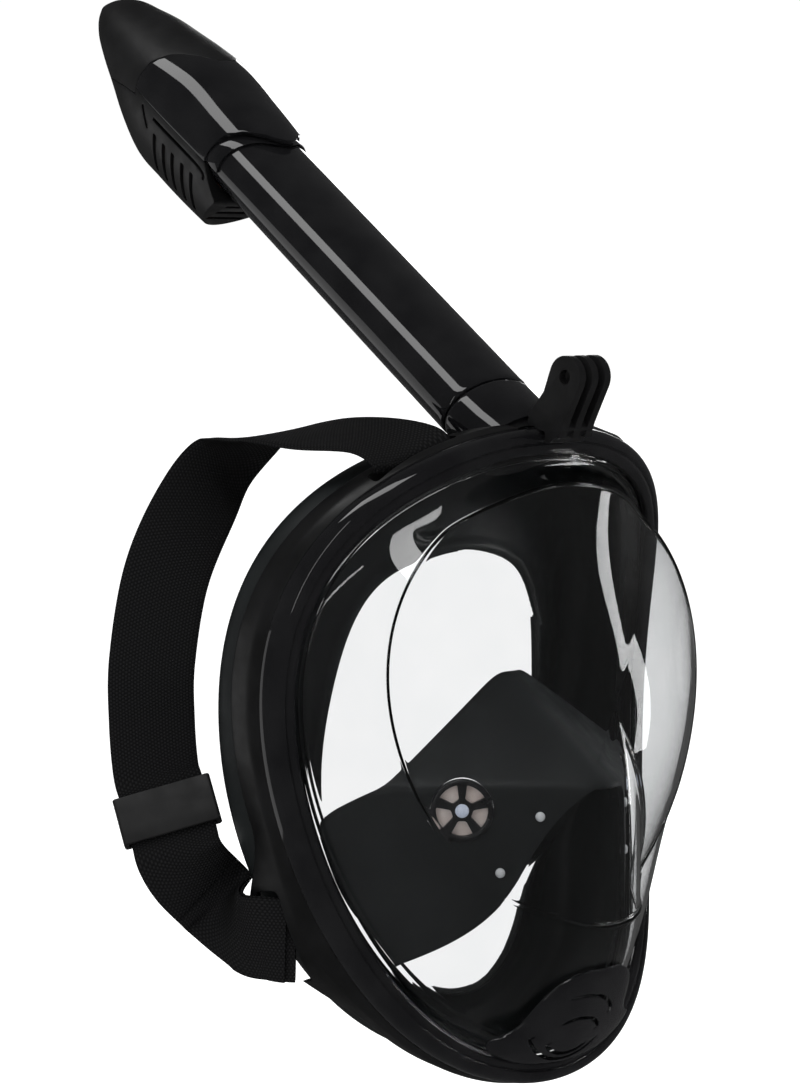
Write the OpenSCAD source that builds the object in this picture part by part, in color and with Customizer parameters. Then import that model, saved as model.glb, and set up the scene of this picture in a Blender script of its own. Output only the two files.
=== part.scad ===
// Full face snorkel: mask, valves, dry-top tube, camera mount and straps.
// X is across the face, -Y is the way the wearer looks, Z is up, in millimetres.
// The origin is level with the middle of the face rim, in the plane of the rim's top and bottom.

/* [Face rim] */
// Half width scale of the bezel's ridge
rim_half_w = 92; // [86:1:96]
// Half height of the bezel's ridge
rim_half_h = 117; // [112:1:120]
// How much wider the rim is above its middle
rim_egg = 0.154; // [0.12:0.01:0.18]
// How square the rim's shoulders are
rim_shoulder = 0.25; // [0.2:0.01:0.28]
// How far the rim's sides lie behind its top and bottom
rim_wrap = 44; // [40:1:48]

/* [Lens] */
// Thickness of the lens
lens_wall = 2.2; // [1.8:0.1:2.6]

/* [Frame and skirt] */
// Depth of the frame behind the bezel
frame_depth = 15; // [13:1:17]
// Depth that the side wings add
wing_depth = 17; // [15:1:19]
// Thickness of the skirt
skirt_wall = 2; // [1.6:0.1:2.4]

/* [Snorkel tube] */
// Angle of the tube from upright
tube_lean = 55; // [53:1:57]
// Width of the tube
tube_w = 41; // [40:0.5:42]
// Depth of the tube
tube_d = 29; // [28:0.5:30]
// Length of the tube from the socket to its end inside the head
tube_len = 164; // [156:1:168]
// Wall of the tube
tube_wall = 2; // [1.6:0.1:2.4]
// Length of the plug inside the socket
plug_len = 16; // [14:1:18]

/* [Valves] */
// Radius of an inhale valve's seat
inhale_r = 11; // [10:0.5:12]
// Radius of the chin valve's seat
chin_r = 11; // [10:0.5:11.5]

/* [Camera mount] */
// Thickness of one prong
prong_t = 3; // [2.8:0.1:3]
// Gap between two prongs
prong_gap = 3.2; // [3.1:0.1:3.4]
// Radius of the prongs' ends
prong_r = 7.5; // [7:0.5:8]
// Radius of the cross hole
prong_hole_r = 2.6; // [2.5:0.1:2.8]

/* [Straps] */
// Width of the webbing
strap_w = 31; // [29:1:32]
// Thickness of the webbing
strap_t = 1.6; // [1.4:0.1:2]

/* [Hidden] */

gloss_black = [0.03, 0.03, 0.035];
satin_black = [0.07, 0.07, 0.075];
slate = [0.16, 0.18, 0.19];
clear = [0.8, 0.85, 0.88, 0.35];
fit = 0.05;
rim_steps = 72;
rim_step = 360 / rim_steps;

// ---- Rim curve: t is 0 at the top and grows towards +X ----
rim_wrap_top = 11.3;
rim_lean = 0.9;
rim_side_tilt = 40;

function sq(v) = v * v;
function unit(v) = v / norm(v);
function mix(a, b, s) = a + (b - a) * s;
function smooth(s) = let (c = min(1, max(0, s))) c * c * (3 - 2 * c);

function rim_x(t) = rim_half_w * sin(t) * (1 + rim_egg * cos(t) + rim_shoulder * sq(cos(t)));
function rim_y(t) = (rim_wrap + rim_wrap_top * cos(t)) * sq(sin(t)) + rim_lean * cos(t);
function rim_z(t) = rim_half_h * cos(t);
function rim_out(t) =
    let (n = unit([rim_z(t - 1) - rim_z(t + 1), rim_x(t + 1) - rim_x(t - 1)]))
    let (a = rim_side_tilt * sq(sin(t)))
    [n[0] * cos(a), sin(a), n[1]];
// A point off the rim: out along the face of the bezel, then straight back
function rim_at(t, out, back) = [rim_x(t), rim_y(t) + back, rim_z(t)] + out * rim_out(t);

// ---- Lofts ----
// A closed tube of closed rings, and a stack of closed rings shut by a point at each end
function ring_faces(n, m, wrap) = [
    for (i = [0 : n - (wrap ? 1 : 2)], j = [0 : m - 1])
        let (i2 = (i + 1) % n, j2 = (j + 1) % m)
        each [
            [i * m + j, i * m + j2, i2 * m + j],
            [i * m + j2, i2 * m + j2, i2 * m + j]
        ]
];
function mean(ring) = [for (p = ring) 1] * ring / len(ring);
// A smooth curve through the points of a list, at u of the way from point k to the next
function cubic(a, b, c, d, u) =
    (2 * b + (c - a) * u + (2 * a - 5 * b + 4 * c - d) * sq(u) + (3 * b - 3 * c + d - a) * u * u * u) / 2;
function route_at(list, k, u) =
    let (n = len(list) - 1)
    cubic(list[max(0, k - 1)], list[k], list[min(n, k + 1)], list[min(n, k + 2)], u);

module loop_solid(rings) {
    faces = ring_faces(len(rings), len(rings[0]), true);
    polyhedron([for (r = rings) each r], faces);
}

module stack_solid(rings) {
    n = len(rings);
    m = len(rings[0]);
    pts = concat([for (r = rings) each r], [mean(rings[0]), mean(rings[n - 1])]);
    caps = [for (j = [0 : m - 1]) each [
        [n * m, j, (j + 1) % m],
        [n * m + 1, (n - 1) * m + (j + 1) % m, (n - 1) * m + j]
    ]];
    faces = concat([for (f = ring_faces(n, m, false)) [f[2], f[1], f[0]]], caps);
    polyhedron(pts, faces);
}

// A ring that follows the rim, from a list of [out, back] corners
module rim_ring(corners) {
    loop_solid([for (i = [0 : rim_steps - 1]) [for (c = corners) rim_at(i * rim_step, c[0], c[1])]]);
}

// ---- Lens ----
panel_half_w = 76;
panel_half_h = 77;
panel_mid_z = 21;
function panel_x(t) = panel_half_w * sin(t) * (1 + 0.14 * cos(t) - 0.03 * sq(cos(t)));
function panel_z(t) = panel_mid_z + panel_half_h * cos(t);
// The crease is further forward at the nose, where it fades into the mouth bulge
function panel_y(t) =
    0.0009 * sq(panel_x(t)) + 0.089 * panel_z(t) - 5.5
    - 10 * smooth(5 * cos(t) - 4) - 20 * smooth(-7 * cos(t) - 6);
function crease(t) = [panel_x(t), panel_y(t), panel_z(t)];
function dome_y(z) = -34 + 0.0018 * sq(z + 25);
// Rings from the rim, up the side wall to the crease, then over the dome; in pulls them inwards
wall_path = [0, 0.35, 0.7, 0.93, 1];
dome_path = [0.94, 0.8, 0.6, 0.4, 0.2];
panel_mid = [0, 0, 22];
function lens_wall_ring(s, in) = [for (i = [0 : rim_steps - 1])
    let (t = i * rim_step, a = rim_at(t, -10.2, 3.05), b = crease(t), o = rim_out(t))
    mix(a, b, s) + [0, 4 * s * (1 - s) * (4 - 9 * smooth(-cos(t))), 0]
    - in * [o[0], s > 0.9 ? -0.7 : 0, o[2]]];
function lens_dome_ring(q, in) = [for (i = [0 : rim_steps - 1])
    let (c = crease(i * rim_step), x = c[0] * q, z = mix(panel_mid[2], c[2], q))
    [x, mix(dome_y(z), c[1], pow(q, 2.2)) + in, z]];
lens_rings = concat(
    [for (k = [4 : -1 : 0]) lens_dome_ring(dome_path[k], 0)],
    [for (k = [4 : -1 : 0]) lens_wall_ring(wall_path[k], 0)],
    [[for (i = [0 : rim_steps - 1]) rim_at(i * rim_step, -3.2, 3.05)]],
    [[for (i = [0 : rim_steps - 1]) rim_at(i * rim_step, -3.2, 3 + lens_wall)]],
    [[for (i = [0 : rim_steps - 1]) rim_at(i * rim_step, -10 - lens_wall, 3 + lens_wall)]],
    [for (k = [1 : 4]) lens_wall_ring(wall_path[k], lens_wall)],
    [for (q = dome_path) lens_dome_ring(q, lens_wall)]
);
chin_pos = [0, -6.6, -93.3];
chin_tilt = 29;
module at_chin() translate(chin_pos) rotate([90 + chin_tilt, 0, 0]) children();

module lens() {
    color(clear) difference() {
        stack_solid(lens_rings);
        at_chin() translate([0, 0, -30]) cylinder(r = chin_r + fit, h = 60, $fn = 64);
    }
}

// ---- Bezel and frame ----
module front_bezel() {
    color(gloss_black) rim_ring([
        [-9, 1.2], [-8.6, 0.2], [-6, -1.6], [-3, -2.2], [-0.8, -1.6], [0.4, 0], [0.9, 2.4],
        [0.9, 5], [-2.4, 5], [-2.6, 2.9], [-9, 2.9]
    ]);
}

wing_mid = 122;
wing_reach = 21;
function wing(t) = smooth(1 - abs(abs(t > 180 ? t - 360 : t) - wing_mid) / wing_reach);
strap_slot = [81.5, 54, -62.5];
top_slot_at = 23;
module frame_blank() {
    loop_solid([for (i = [0 : rim_steps * 2 - 1])
        let (t = i * rim_step / 2, w = wing(t))
        [
            rim_at(t, 1, 5 + fit),
            rim_at(t, 2.4 + 2 * w, 9),
            rim_at(t, 1.4 + 5 * w, frame_depth + 5 + wing_depth * w),
            rim_at(t, -1.2 + 5 * w, frame_depth + 5 + wing_depth * w),
            rim_at(t, -1.8 + 2 * w, 12),
            rim_at(t, -6, 9.2),
            rim_at(t, -6, 5.4),
            rim_at(t, -2.4, 5.4)
        ]]);
}
module wing_slot(side) {
    translate([side * strap_slot[0], strap_slot[1], strap_slot[2]])
        rotate([-9, side * 16, 0]) cube([24, 13, strap_w + 3], center = true);
}
module top_slot(side) {
    translate(rim_at(side * top_slot_at, 0, 12)) rotate([0, side * 22, side * 14])
        cube([strap_w + 3, 6.5, 24], center = true);
}

module rear_frame() {
    color(satin_black) difference() {
        frame_blank();
        for (side = [-1, 1]) {
            wing_slot(side);
            top_slot(side);
        }
        socket_envelope(fit);
    }
}

// ---- Skirt ----
function skirt_back(t) = 54 + 29 * sq(sin(t)) - 4 * smooth(-cos(t));
function skirt_edge(t) = [53 * sin(t), 48 + 17 * sq(sin(t)), -11 + 81 * cos(t)];
module face_skirt() {
    color(slate) difference() {
        loop_solid([for (i = [0 : rim_steps - 1])
            let (t = i * rim_step, o = rim_out(t), e = skirt_edge(t))
            let (a = rim_at(t, -2.4, frame_depth + 5.5), b = rim_at(t, 1.5, 0), y = skirt_back(t))
            let (wall = [o[0], 0, o[2]] * skirt_wall, r = rim_at(t, -8.6, 10.4))
            let (bulge = [b[0] * 0.97, y * 0.82 + a[1] * 0.18 - 2, b[2] * 0.97])
            let (turn = [b[0] * 0.86, y, b[2] * 0.88], roll = mix(turn, e, 0.55) + [0, 1, 0])
            [
                a, bulge, turn, roll, e,
                e + [0, -skirt_wall, 0], roll - [0, skirt_wall, 0],
                turn - wall - [0, skirt_wall, 0], bulge - wall, a - wall, r - wall * 0.5,
                r + [0, -0.2, 0], r + wall * 0.6
            ]]);
        socket_envelope(fit);
    }
}

// ---- Nose pocket ----
// Level sections are rounded vees that open backwards; z is the height of the section
pocket_slope = 0.92;
pocket_front = -30;
pocket_wall = 1.8;
pocket_round = 5;
function pocket_nose(z) = max(pocket_front, pocket_front + (z + 6) * 1.45);
function pocket_side(z) = let (t = acos(z / rim_half_h)) rim_x(t) - 10.6 - 4.6 * smooth((-40 - z) / 30);
function pocket_reach(z) = min(36 + 1.56 * (9.9 - z), pocket_side(z));
function pocket_start(z) = 4.6 * sqrt(pocket_arch + 2 - z) + 0.0005 * pow(max(0, -35 - z), 3);
function pocket_y(x, z) =
    pocket_nose(z) + pocket_slope * (sqrt(sq(x) + sq(pocket_round)) - pocket_round);
pocket_low = -70;
pocket_top = 29;
pocket_arch = -7;
pocket_cuts = 22;
// Lines run up one side, over the mouth arch and down the other, each from the arch to the outer edge
function pocket_line(i) =
    let (side = i < 0 ? -1 : 1, flat = min(1, abs(i) / 2), v = max(0, (abs(i) - 2) / (pocket_cuts - 2)))
    let (a = mix(pocket_arch, pocket_low, v), b = mix(pocket_top, pocket_low, v))
    [[side * flat * pocket_start(a), a], [side * flat * pocket_reach(b), b]];
function pocket_row(i, back) = let (l = pocket_line(i))
    [for (k = [0 : 12]) let (p = mix(l[0], l[1], k / 12)) [p[0], pocket_y(p[0], p[1]) + back, p[1]]];
function reversed(list) = [for (k = [len(list) - 1 : -1 : 0]) list[k]];
module nose_pocket() {
    color(slate) difference() {
        stack_solid([for (i = [pocket_cuts : -1 : -pocket_cuts])
            concat(pocket_row(i, 0), reversed(pocket_row(i, pocket_wall)))]);
        for (side = [-1, 1]) {
            at_inhale(side) translate([0, 0, -10]) cylinder(r = inhale_r + fit, h = 20, $fn = 64);
            for (p = stud_places)
                at_stud(side, p) translate([0, 0, -10]) cylinder(r = stud_r + fit, h = 20, $fn = 32);
        }
    }
}

inhale_pos = [41.3, 3.7, -14.6];
module at_inhale(side) {
    translate([side * inhale_pos[0], inhale_pos[1], inhale_pos[2]])
        rotate([90, 0, side * atan(pocket_slope)]) children();
}
stud_r = 1.7;
stud_places = [[21.2, -14.6, -16.8], [31.5, -5.3, -36.6]];
module at_stud(side, p) {
    translate([side * p[0], p[1], p[2]]) rotate([90, 0, side * atan(pocket_slope)]) children();
}
module spoked_seat(r, wall, spokes, t) {
    difference() {
        cylinder(r = r, h = t, $fn = 64);
        translate([0, 0, -1]) cylinder(r = r - wall, h = t + 2, $fn = 64);
    }
    cylinder(r = r * 0.22, h = t, $fn = 32);
    for (k = [0 : spokes - 1])
        rotate([0, 0, k * 360 / spokes + 18]) translate([0, -0.8, 0]) cube([r - wall / 2, 1.6, t]);
}
module valve_seat(side) at_inhale(side) translate([0, 0, -1.5]) spoked_seat(inhale_r, 2, 5, 2.4);
module valve_disc(side)
    at_inhale(side) translate([0, 0, -2.3]) cylinder(r = inhale_r - 1, h = 0.7, $fn = 48);

module inhale_valve_seat_right() { color(gloss_black) valve_seat(-1); }
module inhale_valve_seat_left() { color(gloss_black) valve_seat(1); }
module inhale_valve_disc_right() { color([0.9, 0.85, 0.83]) valve_disc(-1); }
module inhale_valve_disc_left() { color([0.9, 0.85, 0.83]) valve_disc(1); }

module pocket_studs() {
    color([0.75, 0.76, 0.78]) for (side = [-1, 1], p = stud_places)
        at_stud(side, p) translate([0, 0, -2]) cylinder(r = stud_r, h = 3, $fn = 32);
}

// ---- Chin valve ----
module chin_valve_seat() { color(gloss_black) at_chin() spoked_seat(chin_r, 2, 4, 3); }
module chin_valve_disc() {
    color(slate) at_chin() translate([0, 0, 3.2]) cylinder(r = chin_r - 1, h = 0.8, $fn = 48);
}
// The cover is a low bell, narrow at the top and flared where it meets the rim: [x, z] on one side
chin_side = [
    [0, -72.3], [8, -72.4], [15, -74.8], [20, -79.3], [23, -84.9], [26, -91.4],
    [30.4, -94.9], [34.6, -97], [32, -102], [21, -107.4], [12, -109], [0, -110]
];
chin_cuts = 3;
function chin_at(s) = let (k = min(floor(s), len(chin_side) - 2)) route_at(chin_side, k, s - k);
chin_right = [for (s = [0 : 1 / chin_cuts : len(chin_side) - 1.01]) chin_at(s)];
chin_outline = concat(
    [for (p = chin_right) p],
    [for (k = [len(chin_right) : -1 : 1])
        k == len(chin_right) ? [0, -110] : [-chin_right[k][0], chin_right[k][1]]]
);
chin_mid = [0, -94];
function chin_face(x, z) = -24.5 - 0.558 * (z + 72.5) + 0.007 * sq(x);
function chin_ring(q, lift) = [for (p = chin_outline)
    let (x = p[0] * q, z = mix(chin_mid[1], p[1], q)) [x, chin_face(x, z) - lift, z]];
// Curved slots that let the water out: [centre x, centre y, radius, start, turn]
chin_slots = [
    [-5, -5, 22, 32, 76], [-2.5, -9, 15.4, 36, 84], [-2, 5, 14.7, 222, 86], [-3, 9, 21.2, 210, 108]
];
module chin_slot(c) {
    at_chin() translate([c[0], c[1], 0]) rotate([0, 0, c[3]])
        rotate_extrude(angle = c[4], $fn = 64) translate([c[2] - 0.8, 0]) square([1.6, 30]);
}
module chin_cover() {
    color(gloss_black) difference() {
        stack_solid([
            chin_ring(0.5, 2.8), chin_ring(0.84, 2.6), chin_ring(0.96, 2), chin_ring(1, 0.8),
            chin_ring(1, 0), chin_ring(0.94, 0), chin_ring(0.84, 0.9), chin_ring(0.5, 1.1)
        ]);
        for (c = chin_slots) chin_slot(c);
    }
}

// ---- Camera mount ----
mount_foot = [0, -4.5, 118.5];
mount_lean = 24;
mount_reach = 19;
module at_mount() translate(mount_foot) rotate([mount_lean, 0, 0]) children();
// Side outline of the clip that sits over the bezel's top edge, as [y, z]
mount_clip = [
    [-11.5, 117.5], [-7, 114], [-5, 112.4], [-2.6, 112.4], [-2.4, 116.6], [-0.8, 118.3],
    [6, 118.3], [6, 120.6], [3, 124], [-9, 121.5]
];
module camera_mount() {
    pitch = prong_t + prong_gap;
    width = 2 * pitch + prong_t;
    color(satin_black) difference() {
        union() {
            at_mount() for (k = [-1 : 1]) translate([k * pitch - prong_t / 2, 0, 0]) {
                translate([0, 0, mount_reach]) rotate([0, 90, 0])
                    cylinder(r = prong_r, h = prong_t, $fn = 64);
                translate([0, -prong_r, 2]) cube([prong_t, 2 * prong_r, mount_reach - 2]);
            }
            translate([-width / 2, 0, 0]) rotate([90, 0, 90])
                linear_extrude(height = width) polygon(mount_clip);
        }
        at_mount() translate([-20, 0, mount_reach]) rotate([0, 90, 0])
            cylinder(r = prong_hole_r, h = 40, $fn = 48);
    }
}

// ---- Tube, in its own frame: z along the tube, y towards its lower back side ----
tube_base = [0, 34.7, 122.6];
module at_tube(w = 0) translate(tube_base) rotate([-tube_lean, 0, 0]) translate([0, 0, w]) children();
function oval(w, d) = [for (a = [0 : 7.5 : 359]) [w / 2 * cos(a), d / 2 * sin(a)]];
module oval_bar(w, d, h) linear_extrude(height = h) polygon(oval(w, d));
socket_len = 22;
joint_gap = 0.6;
plug_w = tube_w - 7;
plug_d = tube_d - 7;
module socket_envelope(grow) at_tube(-socket_len - 20) oval_bar(tube_w + 2 * grow, tube_d + 2 * grow, 60);

module tube_socket() {
    color(gloss_black) difference() {
        at_tube(-socket_len) oval_bar(tube_w, tube_d, socket_len - joint_gap);
        at_tube(-plug_len - 1) oval_bar(plug_w + 2, plug_d + 2, plug_len + 2);
        at_tube(-socket_len - 1) oval_bar(plug_w - 3, plug_d - 3, socket_len);
        translate([-50, -40, 60]) cube([100, 46.5, 100]);
    }
}
module socket_gasket() {
    color(slate) at_tube(-plug_len + 3) difference() {
        oval_bar(plug_w + 2 - 2 * fit, plug_d + 2 - 2 * fit, 5);
        translate([0, 0, -1]) oval_bar(plug_w, plug_d, 7);
    }
}
module tube_channels(h) {
    inner_w = plug_w - 2 * tube_wall;
    inner_d = plug_d - 2 * tube_wall;
    linear_extrude(height = h) difference() {
        polygon(oval(inner_w, inner_d));
        for (side = [-1, 1]) translate([side * 8.5 - 0.7, -20]) square([1.4, 40]);
    }
}
module snorkel_tube() {
    color(gloss_black) at_tube() difference() {
        union() {
            oval_bar(tube_w, tube_d, tube_len);
            translate([0, 0, -plug_len]) oval_bar(plug_w, plug_d, plug_len + 1);
        }
        translate([0, 0, -plug_len - 1]) tube_channels(tube_len + plug_len + 2);
    }
}

// ---- Dry-top head ----
// Stations along the tube: [height, half width, front reach, back reach]
head_stations = [
    [143, 20, 17.4, 32.8], [157, 21.5, 19.3, 34.6], [175, 22.5, 21, 35.9], [200, 23, 22.4, 36.4],
    [215, 22.5, 20.6, 36], [228, 21.2, 18.4, 31], [240, 19, 16.5, 24.4], [252, 16.4, 13.4, 18.2],
    [262, 12.6, 10.5, 13.4], [269, 8, 5.8, 9.6], [272.5, 4.4, 2, 6.6], [274, 1.2, 0.4, 4]
];
head_sides = 40;
function head_ring(s, in) = [for (k = [0 : head_sides - 1])
    let (a = k * 360 / head_sides, back = sin(a) > 0)
    [(s[1] - in) * cos(a) * (back ? 1 - 0.16 * sq(sin(a)) : 1),
     (back ? s[3] - in : s[2] - in) * sin(a), s[0]]];
module head_envelope(in) {
    last = len(head_stations) - 1;
    rings = [for (k = [0 : last]) head_ring(head_stations[k] - [k == last ? in : 0, 0, 0, 0],
        min(in, head_stations[k][1] - 0.6))];
    stack_solid(rings);
}
cut = 0.05;
split_y = 3;
// Joint lines of the head seen from its side, as [y, z]: under the tip, and along the shell's lower end
seam_line = [
    [-40, 192], [-22.2, 197.5], [-20.5, 203], [-18, 208], [-15, 212], [-9, 215.7], [0, 216.4],
    [5.2, 215.2], [7.2, 223.7], [10.8, 234], [15, 243], [40, 262]
];
shell_line = [
    [split_y - cut, 164], [0, 164], [-6, 163.3], [-10.5, 162], [-14.7, 158.5], [-17.2, 152.7],
    [-18.2, 146.5], [-40, 146.5]
];
collar_line = [[split_y - cut, 156], [-4, 156], [-10, 155], [-13.7, 152.5], [-15.8, 147]];
grille_angle = 36;
vent_steps = [168.5, 175, 182, 188.5, 195.5];
module slab(points)
    translate([-60, 0, 0]) rotate([90, 0, 90]) linear_extrude(height = 120) polygon(points);
module above_seam(gap)
    slab(concat([for (p = seam_line) [p[0], p[1] + gap]], [[40, 300], [-40, 300]]));
// The side of the vent housing, raised from its slanted lower end by lift
module behind_split(lift) slab([
    [split_y + cut, 300], [split_y + cut, 163.5 + lift], [12, 156 + lift], [14.4, 152.9 + lift],
    [60, 152.9 + lift + 45.6 * tan(grille_angle)], [60, 300]
]);
module head_hollow() head_envelope(2);
module head_shell() {
    color(gloss_black) at_tube() difference() {
        intersection() {
            head_envelope(0);
            slab(concat(shell_line, [[-40, 300], [split_y - cut, 300]]));
        }
        head_hollow();
        above_seam(-cut);
        translate([0, 0, 100]) oval_bar(tube_w + 2 + 2 * fit, tube_d + 2 + 2 * fit, tube_len + fit - 100);
    }
}
module head_tip() {
    color(satin_black) at_tube() intersection() {
        difference() {
            head_envelope(0);
            head_hollow();
        }
        above_seam(cut);
    }
}
module vent_housing() {
    color(satin_black) at_tube() difference() {
        intersection() {
            head_envelope(0);
            behind_split(0);
        }
        intersection() {
            head_hollow();
            behind_split(3);
        }
        above_seam(-cut);
        translate([0, 0, 100]) oval_bar(tube_w + 2 * fit, tube_d + 2 * fit, tube_len + fit - 100);
        for (w = vent_steps) translate([-60, 12, w]) cube([120, 16, 2.2]);
        for (y = [18, 23, 28]) translate([-9, y, 140]) cube([18, 1.8, 32]);
    }
}
module head_collar() {
    color(gloss_black) at_tube() difference() {
        intersection() {
            oval_bar(tube_w + 2, tube_d + 2, tube_len);
            slab(concat(collar_line, [[-40, 147], [-40, 300], [split_y - cut, 300]]));
        }
        oval_bar(tube_w + 2 * fit, tube_d + 2 * fit, tube_len + 1);
    }
}
plate_w = 196;
plate_t = 2;
port_y = 22;
port_r = 5;
exhaust_y = -7;
exhaust_r = 4;
float_w = 172;
float_len = 14;
pad_t = 1.5;
module valve_plate() {
    color(satin_black) at_tube(plate_w) difference() {
        translate([0, 7, 0]) oval_bar(35, 44, plate_t);
        translate([0, port_y, -1]) cylinder(r = port_r, h = plate_t + 2, $fn = 48);
        translate([0, exhaust_y, -1]) cylinder(r = exhaust_r, h = plate_t + 2, $fn = 48);
    }
}
module float() {
    color([0.85, 0.5, 0.1]) at_tube(float_w) translate([0, port_y, 0])
        cylinder(r = port_r + 1.5, h = float_len, $fn = 48);
}
module float_seal() {
    color(slate) at_tube(float_w + float_len) translate([0, port_y, 0])
        cylinder(r = port_r + 1, h = pad_t, $fn = 48);
}
module exhaust_flap() {
    color(slate) at_tube(plate_w + plate_t + 0.1) translate([0, exhaust_y, 0])
        cylinder(r = exhaust_r + 1.5, h = 0.8, $fn = 48);
}

// ---- Straps: hand-set stations of the right one, [centre, half-width direction] ----
strap_route = [
    [[-48, 21.6, 104], [-0.9, 0.24, -0.36]],
    [[-48.5, 22.6, 110], [-0.9, 0.2, -0.36]],
    [[-52, 36, 115], [-0.9, -0.2, -0.33]],
    [[-58, 60, 115], [-0.86, -0.42, -0.28]],
    [[-61, 86, 113], [-0.82, -0.5, 0.05]],
    [[-64.5, 103.6, 104.4], [-0.84, -0.1, 0.5]],
    [[-77.7, 105.5, 88.3], [-0.82, 0.35, 0.45]],
    [[-93.1, 103.8, 63.8], [-0.76, 0.6, 0.25]],
    [[-99.7, 104.1, 33.3], [-0.74, 0.67, 0.05]],
    [[-98.4, 106.2, 10.7], [-0.76, 0.62, -0.1]],
    [[-98.3, 104.3, -6.2], [-0.78, 0.58, -0.25]],
    [[-99.2, 99.8, -13.3], [-0.78, 0.58, -0.25]],
    [[-101.1, 90.5, -27.4], [-0.78, 0.58, -0.25]],
    [[-102.1, 86, -34.4], [-0.78, 0.58, -0.25]],
    [[-96.9, 85.3, -42.4], [-0.66, 0.42, -0.56]],
    [[-85.5, 84.3, -53.7], [-0.4, 0.2, -0.9]],
    [[-87, 70, -62], [0.12, -0.12, -0.98]],
    [[-85, 57.5, -62.5], [0.22, -0.14, -0.95]],
    [[-79, 49, -63], [0.24, -0.14, -0.95]]
];
strap_cuts = 4;
function strap_point(s) = let (k = min(floor(s), len(strap_route) - 2)) route_at(strap_route, k, s - k);
function strap_section(s) =
    let (p = strap_point(s), last = len(strap_route) - 1)
    let (a = strap_point(max(0, s - 0.05)), b = strap_point(min(last, s + 0.05)))
    let (w = unit(p[1]) * strap_w / 2, n = unit(cross(b[0] - a[0], w)) * strap_t / 2)
    [p[0] + w + n, p[0] - w + n, p[0] - w - n, p[0] + w - n];
module strap() {
    color([0.05, 0.05, 0.055])
        stack_solid([for (s = [0 : 1 / strap_cuts : len(strap_route) - 1]) strap_section(s)]);
}
module strap_right() strap();
module strap_left() mirror([1, 0, 0]) strap();

adjuster_pos = [-100.2, 95.2, -20.3];
adjuster_size = [strap_w + 5, 6.8, 18];
module adjuster() {
    translate(adjuster_pos) rotate([-149.9, 15.3, 143.9]) difference() {
        cube(adjuster_size, center = true);
        cube([strap_w + 1.4, 4.6, 40], center = true);
        for (z = [-5, 5]) translate([0, 4, z]) cube([strap_w - 2, 6, 5], center = true);
    }
}
module adjuster_right() color(satin_black) adjuster();
module adjuster_left() color(satin_black) mirror([1, 0, 0]) adjuster();

lens();
front_bezel();
rear_frame();
face_skirt();
nose_pocket();
pocket_studs();
inhale_valve_seat_right();
inhale_valve_seat_left();
inhale_valve_disc_right();
inhale_valve_disc_left();
chin_valve_seat();
chin_valve_disc();
chin_cover();
camera_mount();
tube_socket();
socket_gasket();
snorkel_tube();
head_collar();
head_shell();
head_tip();
vent_housing();
valve_plate();
float();
float_seal();
exhaust_flap();
strap_right();
strap_left();
adjuster_right();
adjuster_left();
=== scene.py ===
import math

import bmesh
import bpy
import numpy as np
from mathutils import Matrix, Vector


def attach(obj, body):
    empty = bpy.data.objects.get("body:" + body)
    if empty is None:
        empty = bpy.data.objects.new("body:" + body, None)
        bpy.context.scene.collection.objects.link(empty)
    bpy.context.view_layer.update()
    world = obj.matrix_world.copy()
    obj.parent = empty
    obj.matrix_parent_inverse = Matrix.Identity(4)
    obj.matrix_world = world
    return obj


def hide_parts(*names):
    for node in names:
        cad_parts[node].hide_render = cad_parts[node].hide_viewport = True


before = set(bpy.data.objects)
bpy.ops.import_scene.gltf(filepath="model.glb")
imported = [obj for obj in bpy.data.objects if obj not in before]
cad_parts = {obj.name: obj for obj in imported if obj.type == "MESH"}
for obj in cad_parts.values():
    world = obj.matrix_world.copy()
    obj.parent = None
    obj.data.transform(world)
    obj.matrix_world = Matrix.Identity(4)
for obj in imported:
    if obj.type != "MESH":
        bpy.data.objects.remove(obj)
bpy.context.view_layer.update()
MM = 0.001


# ---------------------------------------------------------------- helpers
def sind(a):
    return np.sin(np.radians(a))


def cosd(a):
    return np.cos(np.radians(a))


def smooth(s):
    c = np.clip(s, 0.0, 1.0)
    return c * c * (3 - 2 * c)


def mix(a, b, s):
    return a + (b - a) * s


def unit(v):
    v = np.asarray(v, float)
    return v / np.maximum(np.linalg.norm(v, axis=-1, keepdims=True), 1e-12)


def spline(xs, ys, x):
    """A smooth curve through points, with slopes from their neighbours."""
    xs, ys, x = np.asarray(xs, float), np.asarray(ys, float), np.asarray(x, float)
    m = np.gradient(ys, xs, axis=0)
    k = np.clip(np.searchsorted(xs, x, side="right") - 1, 0, len(xs) - 2)
    h = (xs[k + 1] - xs[k])
    u = (x - xs[k]) / h
    if ys.ndim > 1:
        u, h = u[..., None], h[..., None]
    return (
        (2 * u**3 - 3 * u**2 + 1) * ys[k]
        + (u**3 - 2 * u**2 + u) * h * m[k]
        + (3 * u**2 - 2 * u**3) * ys[k + 1]
        + (u**3 - u**2) * h * m[k + 1]
    )


def catmull(points, s):
    """A smooth curve through a list of points, at s stations along it."""
    n = len(points) - 1
    k = np.clip(np.floor(s).astype(int), 0, n - 1)
    u = (s - k)[:, None]
    a, b, c, d = (points[np.clip(k + i, 0, n)] for i in (-1, 0, 1, 2))
    return (2 * b + (c - a) * u + (2 * a - 5 * b + 4 * c - d) * u**2 + (3 * b - 3 * c + d - a) * u**3) / 2


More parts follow.
